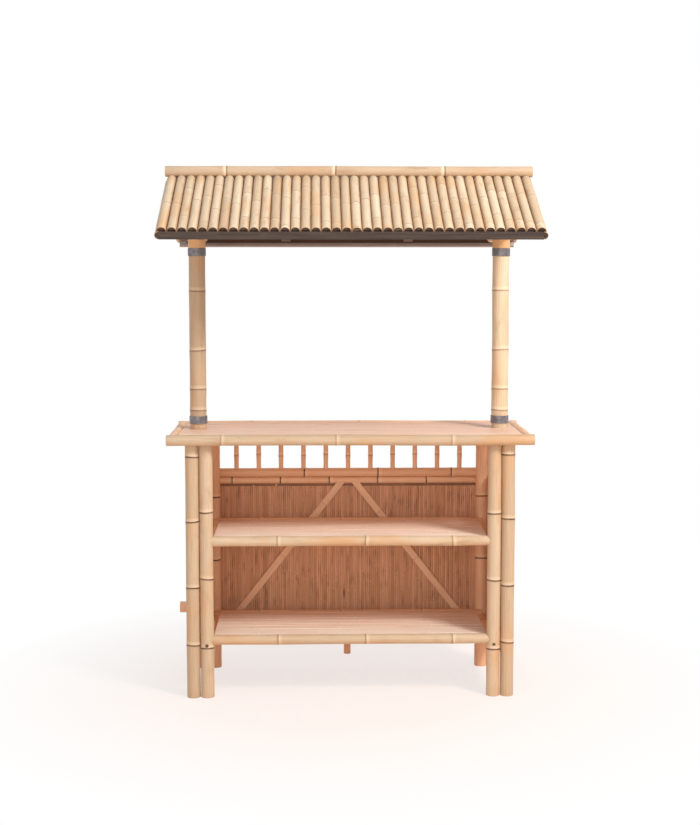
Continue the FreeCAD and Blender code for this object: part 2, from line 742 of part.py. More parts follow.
make_base_posts()
make_counter()
shelf_bearers = make_shelf("middle_shelf", "middle_shelf_height")
shelf_bearers += make_shelf("lower_shelf", "lower_shelf_height")
node("shelf_bearers", group(shelf_bearers))
make_guest_screen()
make_side_screens()
make_foot_rail()
make_roof_posts()
make_roof()
document.recompute()

for item in document.Objects:
    if "Invalid" in item.State or "Error" in item.State:
        raise RuntimeError("%s (%s) failed: %s" % (item.Name, item.Label, item.State))
for item in nodes:
    if item.Shape.isNull() or not item.Shape.isValid() or not item.Shape.Solids:
        raise RuntimeError("%s has no valid shape" % item.Label)

os.makedirs("parts", exist_ok=True)
for item in nodes:
    item.Shape.exportStep("parts/%s.step" % item.Label)
    print("%-28s solids %3d volume %.0f" % (item.Label, len(item.Shape.Solids), item.Shape.Volume))
print("nodes", len(nodes))
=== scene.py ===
import math
import random

import bpy
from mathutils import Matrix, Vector


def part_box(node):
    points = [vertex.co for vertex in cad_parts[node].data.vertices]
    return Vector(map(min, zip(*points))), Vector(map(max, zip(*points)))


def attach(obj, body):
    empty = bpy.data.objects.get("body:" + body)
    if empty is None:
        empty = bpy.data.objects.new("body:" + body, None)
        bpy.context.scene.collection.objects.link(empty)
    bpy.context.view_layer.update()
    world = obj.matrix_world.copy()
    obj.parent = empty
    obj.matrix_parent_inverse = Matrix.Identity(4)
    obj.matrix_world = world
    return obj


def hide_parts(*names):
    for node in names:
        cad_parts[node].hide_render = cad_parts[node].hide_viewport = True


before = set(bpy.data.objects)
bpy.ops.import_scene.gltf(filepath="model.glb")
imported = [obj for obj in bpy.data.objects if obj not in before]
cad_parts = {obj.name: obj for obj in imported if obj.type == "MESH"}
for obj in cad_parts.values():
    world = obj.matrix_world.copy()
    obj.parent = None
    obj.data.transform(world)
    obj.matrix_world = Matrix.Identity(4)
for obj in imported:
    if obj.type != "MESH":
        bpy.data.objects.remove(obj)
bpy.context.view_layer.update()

# Sizes and places in metres, after the part's source. Left is -X and the bartender's side is -Y.
# Seat is the gap that is left where one piece lies on another.
MIDDLE_WALL = 0.006
THIN_WALL = 0.004
RING_RISE = 0.0012
SEAT = 0.0002

POST_DIAMETER = 0.056
POST_WALL = 0.007
POST_GAP = 0.0016
OUTER_POST_X = 0.651
INNER_POST_X = OUTER_POST_X - POST_DIAMETER - POST_GAP
POST_Y = 0.235
POST_TOP = 1.075

COUNTER_WIDTH = 1.5
COUNTER_HEIGHT = 1.1
EDGE_DIAMETER = 0.045
EDGE_X = 0.7275
EDGE_Y = 0.2775
EDGE_Z = COUNTER_HEIGHT - EDGE_DIAMETER / 2
SLAT_PITCH = 0.030
SLAT_THICKNESS = 0.008
SLAT_GAP = 0.001
SLAT_DROP = 0.003
SLAT_TOP = COUNTER_HEIGHT - SLAT_DROP
COUNTER_BEARER = 0.050
COUNTER_BEARER_WALL = 0.009

SHELF_POLE = 0.042
SHELF_REAR_Y = 0.2156
MIDDLE_SHELF_Z = 0.675
LOWER_SHELF_Z = 0.262
SHELF_BEARER = 0.036
SHELF_BEARER_WALL = 0.007
SHELF_BEARER_X = (-0.48, -0.16, 0.16, 0.48)

# A screen's panel reaches a little into the posts beside it. Rails are given as diameter and height.
SCREEN_Y = 0.251
PANEL_BOTTOM = 0.190
PANEL_TOP = 0.8236
PANEL_THICKNESS = 0.008
PANEL_OVERLAP = 0.004
UPPER_RAIL = (0.039, 0.8725)
LOWER_RAIL = (0.029, 0.8383)
BOTTOM_RAIL = (0.040, 0.1698)
BALUSTER_DIAMETER = 0.021
BALUSTER_PITCH = 0.0988
BRACE_WIDTH = 0.029
BRACE_THICKNESS = 0.009
BRACE_ROOM = 0.010
BRACE_Y = SCREEN_Y - PANEL_THICKNESS / 2 - SEAT - BRACE_ROOM / 2
BRACE_FOOT_X = INNER_POST_X - POST_DIAMETER / 2 - 0.031
BRACE_HEAD_X = 0.037

FOOT_RAIL_Y = 0.453
FOOT_RAIL_Z = 0.222
FOOT_RAIL_DIAMETER = 0.050
FOOT_RAIL_ARM = 0.044
FOOT_RAIL_LEG = 0.032

ROOF_POST_X = 0.640
ROOF_POST_DIAMETER = 0.070
ROOF_POST_WALL = 0.008
ROOF_POST_BOTTOM = 1.135
HEAD_DIAMETER = 0.074
HEAD_BOTTOM = 1.857
HEAD_TOP = 1.900
TIE_BEAM_DIAMETER = 0.050
TIE_BEAM_Y = 0.34
TIE_BEAM_Z = 1.912

ROOF_LENGTH = 1.536
ROOF_DEPTH = 0.960
ROOF_SLOPE = math.radians(26.1)
RIDGE_DIAMETER = 0.046
RIDGE_Z = 2.1758
RIDGE_BEAM_THICKNESS = 0.016
CANE_PITCH = 0.040
CANE_DIAMETER = 0.0394
CANE_WALL = 0.005
VERGE_DIAMETER = 0.033
VERGE_X = ROOF_LENGTH / 2 - VERGE_DIAMETER / 2
PURLIN_DIAMETER = 0.036

# The canes butt against the ridge beam and carry the ridge pole on their upper corners.
CANE_START = (RIDGE_BEAM_THICKNESS / 2 + SEAT) / math.cos(ROOF_SLOPE)
CORNER_Y = CANE_DIAMETER / 2 * math.sin(ROOF_SLOPE) + RIDGE_BEAM_THICKNESS / 2 + SEAT
CORNER_RISE = CANE_DIAMETER / 2 * math.cos(ROOF_SLOPE) - CANE_START * math.sin(ROOF_SLOPE)
CANE_PLANE = RIDGE_Z - math.sqrt((RIDGE_DIAMETER / 2 + SEAT) ** 2 - CORNER_Y ** 2) - CORNER_RISE
SLOPE_LENGTH = (ROOF_DEPTH / 2 - CANE_DIAMETER / 2 * math.sin(ROOF_SLOPE)) / math.cos(ROOF_SLOPE)

# Where the nodes of the base posts are, from the foot up.
OUTER_NODES = (0.223, 0.463, 0.741, 1.008)
INNER_NODES = (0.203, 0.493, 0.771)

# A node seen along the pole: distance from the node, rise of the skin, dark line, pale band.
NODE_PROFILE = (
    (-0.018, 0.0, 0.0, 0.0),
    (-0.008, 0.0003, 0.0, 0.0),
    (-0.0045, 0.0008, 0.1, 0.0),
    (-0.0028, 0.0009, 0.6, 0.0),
    (-0.0015, 0.0003, 1.0, 0.0),
    (0.0015, 0.0003, 1.0, 0.0),
    (0.0028, 0.0009, 0.6, 0.5),
    (0.0050, 0.0008, 0.0, 1.0),
    (0.0110, 0.0003, 0.0, 0.7),
    (0.020, 0.0, 0.0, 0.0),
)
NODE_FULL_DIAMETER = 0.04

# The same for the node of a flat strip, without a rise.
STRIP_NODE = (
    (-0.004, 0.0, 0.0),
    (0.0, 1.0, 0.0),
    (0.002, 0.5, 0.5),
    (0.010, 0.0, 0.4),
    (0.018, 0.0, 0.0),
)

# A sawn end: distance from the end, rise of the skin.
SAWN_EDGE = 0.0012
SAWN_END = ((0.0, -SAWN_EDGE), (0.0005, -0.0004), (0.0016, 0.0))

# No node comes nearer to an end than the clearance. Nodes lean by the tilt, and a section is out of
# round by the oval's share. A plug is the wall across a split cane, at its ends and nodes.
END_CLEARANCE = 0.004
NODE_TILT = 0.10
OVAL = 0.006
PLUG_DEPTH = 0.012
SHARP_ANGLE = math.radians(35)

# How much of the cut colour shows on sawn wood, inside a pole and on a plug.
SAWN = 1.0
INSIDE = 0.55
PLUG = 0.8

# A bolt head: distance out of the post, radius.
BOLT_OUTLINE = ((0.0, 0.0070), (0.0010, 0.0070), (0.0014, 0.0066), (0.0015, 0.0048),
                (0.0026, 0.0047), (0.0040, 0.0036), (0.0046, 0.0020), (0.0048, 0.0))
BOLT_SINK = 0.0006

# The split strips of the screens. A slit's reach is along the strip and its depth across it.
STRIP_PITCH = 0.0091
STRIP_GAP = 0.0004
STRIP_THICKNESS = 0.0034
STRIP_RISE = 0.0022
BACKING_THICKNESS = 0.0016
SLIT_REACH = (0.012, 0.028)
SLIT_DEPTH = (0.0009, 0.0022)

HALF_ROUND = (0.0, math.pi)
FULL_ROUND = (0.0, math.tau)


class Surface:
    """Gathers poles, strips and turned bits into one mesh, with the marks that its material reads."""

    def __init__(self, seed):
        self.points = []
        self.faces = []
        self.grain = []
        self.marks = []
        self.chance = random.Random(seed)

    def skin(self, rows, closed, flip=False):
        """A grid of faces over rows of (point, grain, marks); marks are tone, line, pale and cut."""
        first = len(self.points)
        width = len(rows[0])
        for row in rows:
            for point, grain, marks in row:
                self.points.append(point)
                self.grain.append(grain)
                self.marks.append(marks)
        for i in range(len(rows) - 1):
            for j in range(width if closed else width - 1):
                a = first + i * width + j
                b = first + i * width + (j + 1) % width
                quad = (a, b, b + width, a + width)
                self.faces.append(quad[::-1] if flip else quad)

    def pole(self, start, end, diameter, wall, nodes, sides=24, arc=FULL_ROUND, up=None,
             bend=0.0012, line=1.0, swell=1.0, waist=0.0004, band=1.0, tone_range=(0.0, 1.0),
             depth=0.06):
        """A bamboo pole from start to end, whole or half round, with nodes and open ends.

        Bend is how far a node strays from the axis. Line, swell and band scale the nodes' dark line, rise
        and pale band. Waist draws the skin in between nodes. Depth is how far the hollow of a whole pole
        is open.
        """
        chance = self.chance
        start = Vector(start)
        axis = Vector(end) - start
        length = axis.length
        axis.normalize()
        side = Vector(up).cross(axis).normalized() if up else axis.orthogonal().normalized()
        other = axis.cross(side)
        radius = diameter / 2
        seed = chance.uniform(0, 90)
        nodes = sorted(node for node in nodes if END_CLEARANCE < node < length - END_CLEARANCE)
        tones = [chance.uniform(*tone_range) for _ in range(len(nodes) + 1)]
        base_tone = chance.uniform(*tone_range)
        tilts = [(chance.uniform(-NODE_TILT, NODE_TILT), chance.uniform(0, math.tau)) for _ in nodes]
        sways = [(chance.uniform(-bend, bend), chance.uniform(-bend, bend)) for _ in nodes]
        sways = [(0.0, 0.0), *sways, (0.0, 0.0)]
        stops = [0.0, *nodes, length]
        oval = chance.uniform(0.0, math.tau)
        whole = arc == FULL_ROUND
        count = sides if whole else sides + 1

        def sway(s):
            """How far the pole's middle has strayed from its axis at the distance s."""
            for k in range(len(stops) - 1):
                if s <= stops[k + 1] or k == len(stops) - 2:
                    t = (s - stops[k]) / max(stops[k + 1] - stops[k], 1e-6)
                    t = t * t * (3 - 2 * t)
                    a, b = sways[k], sways[k + 1]
                    return side * (a[0] + (b[0] - a[0]) * t) + other * (a[1] + (b[1] - a[1]) * t)

        def ring(s, r, marks, tilt=(0.0, 0.0)):
            """A row of points round the pole at the distance s."""
            row = []
            for j in range(count):
                angle = arc[0] + (arc[1] - arc[0]) * j / sides
                out = r * (1 + OVAL * math.cos(2 * angle + oval)) if r > radius * 0.9 else r
                lean = s + tilt[0] * radius * math.cos(angle - tilt[1])
                lean = min(max(lean, 0.0), length)
                place = start + axis * lean + sway(s)
                place = place + (side * math.cos(angle) + other * math.sin(angle)) * out
                row.append((place, (angle * radius, s, seed), marks))
            return row

        # Stations are distance, rise, dark line, pale band and the node's number.
        stations = []
        for s, rise in SAWN_END:
            stations.append((s, rise, 0, 0, None))
            stations.append((length - s, rise, 0, 0, None))
        swell *= min(1.0, diameter / NODE_FULL_DIAMETER)
        for index, node in enumerate(nodes):
            for ds, rise, dark, pale in NODE_PROFILE:
                stations.append((node + ds, rise * swell, dark * line, pale * band, index))
        for k in range(len(stops) - 1):
            span = stops[k + 1] - stops[k]
            for part in range(1, 4):
                slim = -waist * (1 - abs(part - 2) * 0.4)
                stations.append((stops[k] + span * part / 4, slim, 0, 0, None))
        stations = sorted(station for station in stations if 0 <= station[0] <= length)
        rows = []
        for s, rise, dark, pale, index in stations:
            segment = sum(1 for node in nodes if node < s)
            tone = 0.55 * base_tone + 0.45 * tones[segment]
            tilt = tilts[index] if index is not None else (0.0, 0.0)
            rows.append(ring(s, radius + rise, (tone, dark, pale, 0.0), tilt))
        self.skin(rows, whole)

        inner = radius - wall
        sawn = (base_tone, 0.0, 0.0, SAWN)
        inside = (base_tone, 0.0, 0.0, INSIDE)
        for s, outward in ((0.0, False), (length, True)):
            self.skin([ring(s, radius - SAWN_EDGE, sawn), ring(s, inner, sawn)], whole, not outward)
        if whole:
            reach = min(depth, length / 3)
            for s, inward, outward in ((0.0, reach, False), (length, length - reach, True)):
                middle = (start + axis * inward + sway(inward), (0.0, inward, seed), inside)
                self.skin([ring(s, inner, inside), ring(inward, inner * 0.97, inside),
                           [middle] * count], whole, not outward)
            return
        self.skin([ring(station[0], inner, inside) for station in stations[::3] + [stations[-1]]],
                  False, True)
        for corner in (0, -1):
            edge = []
            for station in stations:
                outer = ring(station[0], radius + station[1], sawn)[corner]
                hollow = ring(station[0], inner, sawn)[corner]
                edge.append([outer, hollow])
            self.skin(edge, False, corner == 0)
        plug = (base_tone, 0.0, 0.0, PLUG)
        for place in (PLUG_DEPTH, *nodes, length - PLUG_DEPTH):
            rim = ring(place, inner + 0.0005, plug)
            middle = ((rim[0][0] + rim[-1][0]) / 2, (0.0, place, seed), plug)
            self.skin([rim, [middle] * count], False)

    def lath(self, start, end, width, thickness, up, stations=24, narrow=None, line=0.35, crown=0.0,
             node_pitch=None, tone_range=(0.0, 1.0), bow=0.0006, shade=0.0):
        """A flat split strip from start to end with rounded edges; up is the way its good face looks.

        Narrow gives how far its edges draw in at a distance along it. Crown raises the middle of the good
        face. Bow is how far the strip waves. Shade darkens all of it towards the line colour, as painted
        shade.
        """
        chance = self.chance
        start = Vector(start)
        axis = Vector(end) - start
        length = axis.length
        axis.normalize()
        up = Vector(up).normalized()
        across = axis.cross(up).normalized()
        seed = chance.uniform(0, 90)
        tone = chance.uniform(*tone_range)
        nodes = []
        if node_pitch:
            s = chance.uniform(0.3, 1.0) * node_pitch
            while s < length - 0.01:
                nodes.append(s)
                s += node_pitch * chance.uniform(0.85, 1.15)
        rim = min(0.0012, thickness * 0.3, width * 0.2)
        half, top = width / 2, thickness / 2
        section = [(-half, -top + rim), (-half, top - rim), (-half + rim, top), (0.0, top + crown),
                   (half - rim, top), (half, top - rim), (half, -top + rim), (half - rim, -top),
                   (-half + rim, -top)]
        places = [(length * i / stations, 0.0, 0.0) for i in range(stations + 1)]
        for node in nodes:
            places += [(node + ds, dark * line, pale) for ds, dark, pale in STRIP_NODE]
        places = sorted(place for place in places if 0.0 <= place[0] <= length)
        phase = chance.uniform(0, math.tau)
        rows = []
        for s, dark, pale in places:
            squeeze = narrow(s) if narrow else 0.0
            shift = up * (bow * math.sin(s * 7.0 + phase) + dark * 0.0006)
            marks = (tone, max(dark, shade), pale, 0.0)
            row = []
            for j, (x, z) in enumerate(section):
                x = math.copysign(max(abs(x) - squeeze, 0.0), x)
                point = start + axis * s + shift + across * x + up * z
                row.append((point, (x + j * 1e-5, s, seed), marks))
            rows.append(row)
        self.skin(rows, True, True)
        sawn = (tone, 0.0, 0.0, SAWN)
        for row, flip in ((rows[0], False), (rows[-1], True)):
            middle = sum((point for point, _, _ in row), Vector()) / len(row)
            rim_row = [(point, grain, sawn) for point, grain, _ in row]
            self.skin([rim_row, [(middle, row[0][1], sawn)] * len(row)], True, flip)

    def lathe(self, base, direction, outline, sides=20):
        """A turned piece such as a bolt head; outline is distance along the direction and radius."""
        axis = Vector(direction).normalized()
        side = axis.orthogonal().normalized()
        other = axis.cross(side)
        rows = []
        for s, r in outline:
            row = []
            for j in range(sides):
                angle = math.tau * j / sides
                round_axis = side * math.cos(angle) + other * math.sin(angle)
                place = Vector(base) + axis * s + round_axis * r
                row.append((place, (angle * 0.01, s, 0.0), (0.5, 0.0, 0.0, 0.0)))
            rows.append(row)
        self.skin(rows, True)

    def piece(self, name, material, nodes=()):
        """The finished object, riding on the bar and standing for the nodes it replaces."""
        mesh = bpy.data.meshes.new(name)
        mesh.from_pydata(self.points, [], self.faces)
        mesh.validate(clean_customdata=False)
        grain = mesh.attributes.new("grain", "FLOAT_VECTOR", "POINT")
        grain.data.foreach_set("vector", [value for triple in self.grain for value in triple])
        for index, mark in enumerate(("tone", "line", "pale", "cut")):
            layer = mesh.attributes.new(mark, "FLOAT", "POINT")
            layer.data.foreach_set("value", [marks[index] for marks in self.marks])
        mesh.shade_smooth()
        mesh.set_sharp_from_angle(angle=SHARP_ANGLE)
        mesh.materials.append(material)
        mesh.update()
        thing = bpy.data.objects.new(name, mesh)
        bpy.context.scene.collection.objects.link(thing)
        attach(thing, "root")
        if nodes:
            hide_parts(*nodes)
        return thing


def srgb(red, green, blue):
    """A colour given as 0 to 255, as the shader takes it."""
    parts = []
    for part in (red, green, blue):
        part /= 255
        parts.append(part / 12.92 if part <= 0.04045 else ((part + 0.055) / 1.055) ** 2.4)
    return (*parts, 1.0)


def lighter(colour, step):
    """A colour of 0 to 255 made lighter by step."""
    return srgb(*[min(255, part + step) for part in colour])


class Nodes:
    """Short calls for the node tree of a material or a world."""

    def __init__(self, owner):
        owner.use_nodes = True
        self.owner = owner
        self.tree = owner.node_tree

    def add(self, kind, values=None, **settings):
        node = self.tree.nodes.new(kind)
        for name, value in settings.items():
            setattr(node, name, value)
        for socket, value in (values or {}).items():
            self.put(node.inputs[socket], value)
        return node

    def put(self, socket, value):
        if isinstance(value, bpy.types.NodeSocket):
            self.tree.links.new(value, socket)
        else:
            socket.default_value = value

    def surface(self, colour, roughness, relief=None, **plain):
        """Sets the shader's colour, roughness and, if given, its normal and plain values."""
        inputs = self.tree.nodes["Principled BSDF"].inputs
        self.put(inputs["Base Color"], colour)
        self.put(inputs["Roughness"], roughness)
        if relief:
            self.put(inputs["Normal"], relief)
        for name, value in plain.items():
            inputs[name].default_value = value

    def place(self):
        return self.add("ShaderNodeTexCoord").outputs["Object"]

    def mark(self, name, output="Fac"):
        return self.add("ShaderNodeAttribute", attribute_name=name).outputs[output]

    def math(self, operation, a, b=0.0):
        return self.add("ShaderNodeMath", {0: a, 1: b}, operation=operation).outputs[0]

    def mix(self, factor, a, b, blend="MIX"):
        node = self.add("ShaderNodeMix", {0: factor, 6: a, 7: b}, data_type="RGBA", blend_type=blend)
        return node.outputs[2]

    def split(self, vector):
        return self.add("ShaderNodeSeparateXYZ", {0: vector}).outputs

    def scaled(self, vector, scale):
        node = self.add("ShaderNodeVectorMath", {0: vector, 1: scale}, operation="MULTIPLY")
        return node.outputs[0]

    def noise(self, vector, scale=1.0, detail=3.0, rough=0.55, distortion=0.0):
        values = {"Vector": vector, "Scale": scale, "Detail": detail, "Roughness": rough,
                  "Distortion": distortion}
        return self.add("ShaderNodeTexNoise", values).outputs[0]

    def spread(self, value, low, high, to_low=0.0, to_high=1.0):
        values = {"Value": value, "From Min": low, "From Max": high, "To Min": to_low,
                  "To Max": to_high}
        return self.add("ShaderNodeMapRange", values).outputs[0]

    def bump(self, height, distance, strength):
        values = {"Height": height, "Distance": distance, "Strength": strength}
        return self.add("ShaderNodeBump", values).outputs[0]

    def seen(self):
        """One where it is looked at, also in a mirror or through glass, and none where it gives light.
        """
        path = self.add("ShaderNodeLightPath").outputs
        direct = self.math("MAXIMUM", path["Is Camera Ray"], path["Is Glossy Ray"])
        return self.math("MAXIMUM", direct, path["Is Transmission Ray"])


def bamboo(name, light, deep, warm, line=(70, 45, 30), end=(214, 178, 130), streak=0.16, blotch=0.5,
           gloss=0.42, lift=16, valley=None):
    """Natural bamboo skin: tone per internode, fibres, stains, pale band and dark line at each node.

    Lift makes the pale band lighter than the skin. Valley gives half the girth of a half-round cane and
    the colour of painted shade that darkens it towards its two edges, where the canes meet.
    """
    m = Nodes(bpy.data.materials.new(name))
    grain = m.mark("grain", "Vector")
    tone = m.mark("tone")
    fibres = m.noise(m.scaled(grain, (420.0, 7.0, 1.0)), detail=4.0)
    fine = m.noise(m.scaled(grain, (1500.0, 22.0, 1.0)), detail=2.0)
    stains = m.noise(m.scaled(grain, (26.0, 9.0, 1.0)), detail=3.0, rough=0.6, distortion=0.4)
    wide = m.noise(m.scaled(grain, (9.0, 3.5, 1.0)), detail=2.0)
    body = m.mix(m.math("MULTIPLY", tone, 0.75), srgb(*light), srgb(*deep))
    body = m.mix(m.spread(wide, 0.50, 0.72, 0.0, blotch), body, srgb(*warm))
    body = m.mix(m.spread(stains, 0.56, 0.74, 0.0, blotch * 0.8), body, srgb(*deep))
    shade = m.spread(fibres, 0.36, 0.64, 1.0 - streak, 1.0)
    grey = m.add("ShaderNodeCombineColor", {0: shade, 1: shade, 2: shade}).outputs[0]
    body = m.mix(1.0, body, grey, "MULTIPLY")
    # Painted shade: a half-round cane darkens towards its two edges, in the valleys between canes.
    if valley:
        middle, valley_shade_colour = valley
        off = m.math("ABSOLUTE", m.math("SUBTRACT", m.split(grain)[0], middle))
        painted_valley_shade = m.spread(off, middle * 0.40, middle * 0.95, 0.0, 0.75)
        body = m.mix(painted_valley_shade, body, srgb(*valley_shade_colour))
    body = m.mix(m.math("MULTIPLY", m.mark("pale"), 0.5), body, lighter(light, lift))
    dark = m.math("MULTIPLY", m.mark("line"), m.spread(stains, 0.3, 0.6, 0.75, 1.0))
    body = m.mix(dark, body, srgb(*line))
    dots = m.add("ShaderNodeTexVoronoi", {"Scale": 900.0}).outputs[0]
    flesh = m.mix(m.spread(dots, 0.1, 0.45), srgb(*[part * 0.72 for part in end]), srgb(*end))
    body = m.mix(m.mark("cut"), body, flesh)
    relief = m.math("ADD", fibres, m.math("MULTIPLY", fine, 0.5))
    m.surface(body, m.spread(fibres, 0.3, 0.7, gloss, gloss + 0.16), m.bump(relief, 0.0004, 0.55),
              **{"Specular IOR Level": 0.4})
    return m.owner


def timber(name, base, dark, painted_shade_band=None):
    """Timber rubbed lighter in places.

    The last argument, if given, holds a height, half a length and the colour of painted shade laid
    on the inner face above that height within it.
    """
    m = Nodes(bpy.data.materials.new(name))
    place = m.place()
    rings = m.noise(m.scaled(place, (5.0, 120.0, 120.0)), detail=4.0, distortion=0.6)
    wear = m.noise(m.scaled(place, (14.0, 14.0, 14.0)), detail=4.0)
    body = m.mix(m.spread(rings, 0.35, 0.66), srgb(*dark), srgb(*base))
    body = m.mix(m.spread(wear, 0.56, 0.78, 0.0, 0.35), body, lighter(base, 30))
    if painted_shade_band:
        height, half, shade_colour = painted_shade_band
        # Painted shade: the inner face above the height, within half the length, takes the shade colour.
        x, _, z = m.split(place)
        within = m.math("LESS_THAN", m.math("ABSOLUTE", x), half)
        facing = m.add("ShaderNodeNewGeometry").outputs["True Normal"]
        inner = m.math("LESS_THAN", m.split(facing)[1])
        upper = m.math("MULTIPLY", m.spread(z, height - 0.0015, height + 0.0015), within)
        body = m.mix(m.math("MULTIPLY", inner, upper), body, srgb(*shade_colour))
    m.surface(body, m.spread(wear, 0.3, 0.7, 0.55, 0.75), m.bump(rings, 0.0006, 0.6))
    return m.owner


def collar_metal(name):
    """Dark grey collar, lightly brushed round the post."""
    m = Nodes(bpy.data.materials.new(name))
    place = m.place()
    brushed = m.noise(m.scaled(place, (18.0, 18.0, 900.0)), detail=3.0)
    patches = m.noise(m.scaled(place, (60.0, 60.0, 60.0)), detail=3.0)
    body = m.mix(m.spread(patches, 0.35, 0.7), srgb(110, 106, 110), srgb(142, 138, 142))
    m.surface(body, m.spread(brushed, 0.3, 0.7, 0.30, 0.46), m.bump(brushed, 0.0002, 0.5),
              Metallic=0.6)
    return m.owner


def steel_bolt(name):
    """Weathered dark bolt."""
    m = Nodes(bpy.data.materials.new(name))
    rust = m.noise(m.scaled(m.place(), (300.0, 300.0, 300.0)), detail=4.0)
    body = m.mix(m.spread(rust, 0.4, 0.65), srgb(96, 84, 74), srgb(132, 92, 62))
    m.surface(body, m.spread(rust, 0.3, 0.7, 0.4, 0.65), m.bump(rust, 0.0003, 0.5), Metallic=0.6)
    return m.owner


PALE = bamboo("pale_bamboo", (226, 202, 172), (196, 166, 134), (218, 172, 128),
              line=(92, 60, 40), blotch=0.9)
# A lighter copy of the pale bamboo, as painted light for the right roof post.
LIT_PALE = bamboo("pale_bamboo_painted_light", (244, 222, 190), (216, 188, 154), (232, 192, 150),
                line=(104, 70, 48), blotch=0.9)
RIDGE = bamboo("ridge_bamboo", (218, 192, 162), (194, 158, 124), (210, 164, 120),
               blotch=0.9, lift=34)
TAN = bamboo("tan_bamboo", (255, 208, 168), (236, 182, 142), (242, 184, 138), line=(110, 66, 44))
BRACE = bamboo("brace_bamboo", (250, 204, 166), (230, 178, 138), (238, 184, 140),
               line=(130, 84, 58))
HEAD = bamboo("post_head_bamboo", (244, 204, 156), (228, 180, 132), (234, 182, 128),
              line=(140, 92, 62))
COUNTER = bamboo("counter_slats", (255, 216, 190), (212, 146, 110), (248, 200, 168),
                 line=(186, 132, 106), streak=0.14)
# The shelf slats are a lighter copy of the counter slats, as painted light for the shelves under the
# counter.
SHELF = bamboo("shelf_slats", (255, 236, 218), (244, 196, 166), (252, 216, 190),
               line=(196, 142, 116), streak=0.12)
PANEL = bamboo("split_panel", (240, 186, 148), (200, 146, 110), (226, 162, 118),
               line=(96, 58, 40), streak=0.24, gloss=0.55)
# The roof and verge canes give their sawn ends, hollows and plugs a dark brown, as painted shade in the
# hollows.
ROOF = bamboo("roof_cane", (244, 223, 192), (196, 160, 122), (228, 180, 128),
              line=(140, 96, 64), end=(80, 58, 46), blotch=0.85,
              valley=(math.pi * CANE_DIAMETER / 4, (158, 112, 78)))
VERGE = bamboo("verge_cane", (240, 218, 186), (188, 152, 114), (224, 174, 122),
               line=(140, 96, 64), end=(80, 58, 46), blotch=0.85)
DARK_TIMBER = timber("dark_timber", (84, 71, 63), (58, 48, 43))
GREY_TIMBER = timber("grey_timber", (150, 134, 126), (116, 102, 96))
# A lighter copy of the grey timber, as painted light for the rear fascia, with a band of painted shade
# along the top of its inner face.
WORN_TIMBER_PAINTED_LIGHT_AND_SHADE = timber("worn_timber_painted_light_and_shade", (186, 176, 172), (158, 148, 144),
                     painted_shade_band=(1.886, 0.722, (96, 74, 62)))
COLLAR = collar_metal("grey_collar")
BOLT = steel_bolt("bolt_steel")


def spaced(first, step, length):
    """Node places from first on, step apart."""
    places = []
    while first < length:
        places.append(first)
        first += step
    return places


# The eight base posts in four pairs.
BASE_POSTS = ((OUTER_POST_X, OUTER_NODES, (0.6, 1.3)), (INNER_POST_X, INNER_NODES, (0.1, 1.0)))
for row, row_sign, material, slot in (("front", -1, PALE, "pale_bamboo"),
                                      ("rear", 1, TAN, "tan_bamboo")):
    for side, side_sign in (("left", -1), ("right", 1)):
        posts = Surface("%s %s posts" % (row, side))
        for post_x, nodes, tones in BASE_POSTS:
            x = side_sign * post_x
            y = row_sign * POST_Y
            shift = posts.chance.uniform(-0.006, 0.006)
            posts.pole((x, y, 0), (x, y, POST_TOP), POST_DIAMETER, POST_WALL,
                       [node + shift for node in nodes], sides=32, bend=0.0014, tone_range=tones)
        posts.piece("%s_%s_post_pair" % (row, side), material,
                    ["%s_%s_posts" % (row, side)])

bolts = Surface("bolts")
post_face = POST_Y + POST_DIAMETER / 2 + SEAT
rail_face = FOOT_RAIL_Y + FOOT_RAIL_DIAMETER / 2 - BOLT_SINK
for sign in (-1, 1):
    bolts.lathe((sign * INNER_POST_X, -post_face, FOOT_RAIL_Z), (0, -1, 0), BOLT_OUTLINE)
    bolts.lathe((sign * INNER_POST_X, rail_face, FOOT_RAIL_Z), (0, 1, 0), BOLT_OUTLINE)
bolts.piece("bolt_heads", BOLT)

# The counter's poles.
for row, sign, first, material in (("front", -1, 0.22, PALE), ("rear", 1, 0.33, TAN)):
    edge = Surface("counter %s" % row)
    y = sign * EDGE_Y
    edge.pole((-COUNTER_WIDTH / 2, y, EDGE_Z), (COUNTER_WIDTH / 2, y, EDGE_Z), EDGE_DIAMETER,
              MIDDLE_WALL, spaced(first, 0.47, COUNTER_WIDTH), sides=28, line=0.3, swell=0.4)
    edge.piece("counter_%s_pole" % row, material, ["counter_%s_edge" % row])
ends = Surface("counter ends")
for sign in (-1, 1):
    x = sign * EDGE_X
    ends.pole((x, -EDGE_Y, EDGE_Z), (x, EDGE_Y, EDGE_Z), EDGE_DIAMETER, MIDDLE_WALL, (0.19, 0.43),
              sides=28, line=0.5)
ends.piece("counter_end_poles", TAN, ["counter_end_edges"])


def lay_slats(name, node, half_length, start_y, end_y, top_z, painted_rear_shade, material):
    """A field of long slats side by side, with painted shade towards the rear by the given share."""
    field = Surface(name)
    count = round((end_y - start_y) / SLAT_PITCH)
    pitch = (end_y - start_y) / count
    for index in range(count):
        y = start_y + (index + 0.5) * pitch
        z = top_z - SLAT_THICKNESS / 2 + field.chance.uniform(-0.0006, 0.0002)
        # Painted shade: the slats' tone deepens towards the rear, with a little added at random.
        rear = painted_rear_shade * index / count + field.chance.uniform(0.0, 0.12)
        field.lath((-half_length, y, z), (half_length, y, z), pitch - SLAT_GAP, SLAT_THICKNESS,
                   (0, 0, 1), stations=20, node_pitch=0.34, crown=0.0004, line=0.2,
                   tone_range=(rear, rear + 0.08))
    field.piece(name, material, [node])


edge_inside = EDGE_Y - EDGE_DIAMETER / 2
lay_slats("counter_top_slats", "counter_slats", EDGE_X - EDGE_DIAMETER / 2 - SEAT, -edge_inside,
          edge_inside, SLAT_TOP, 0.6, COUNTER)

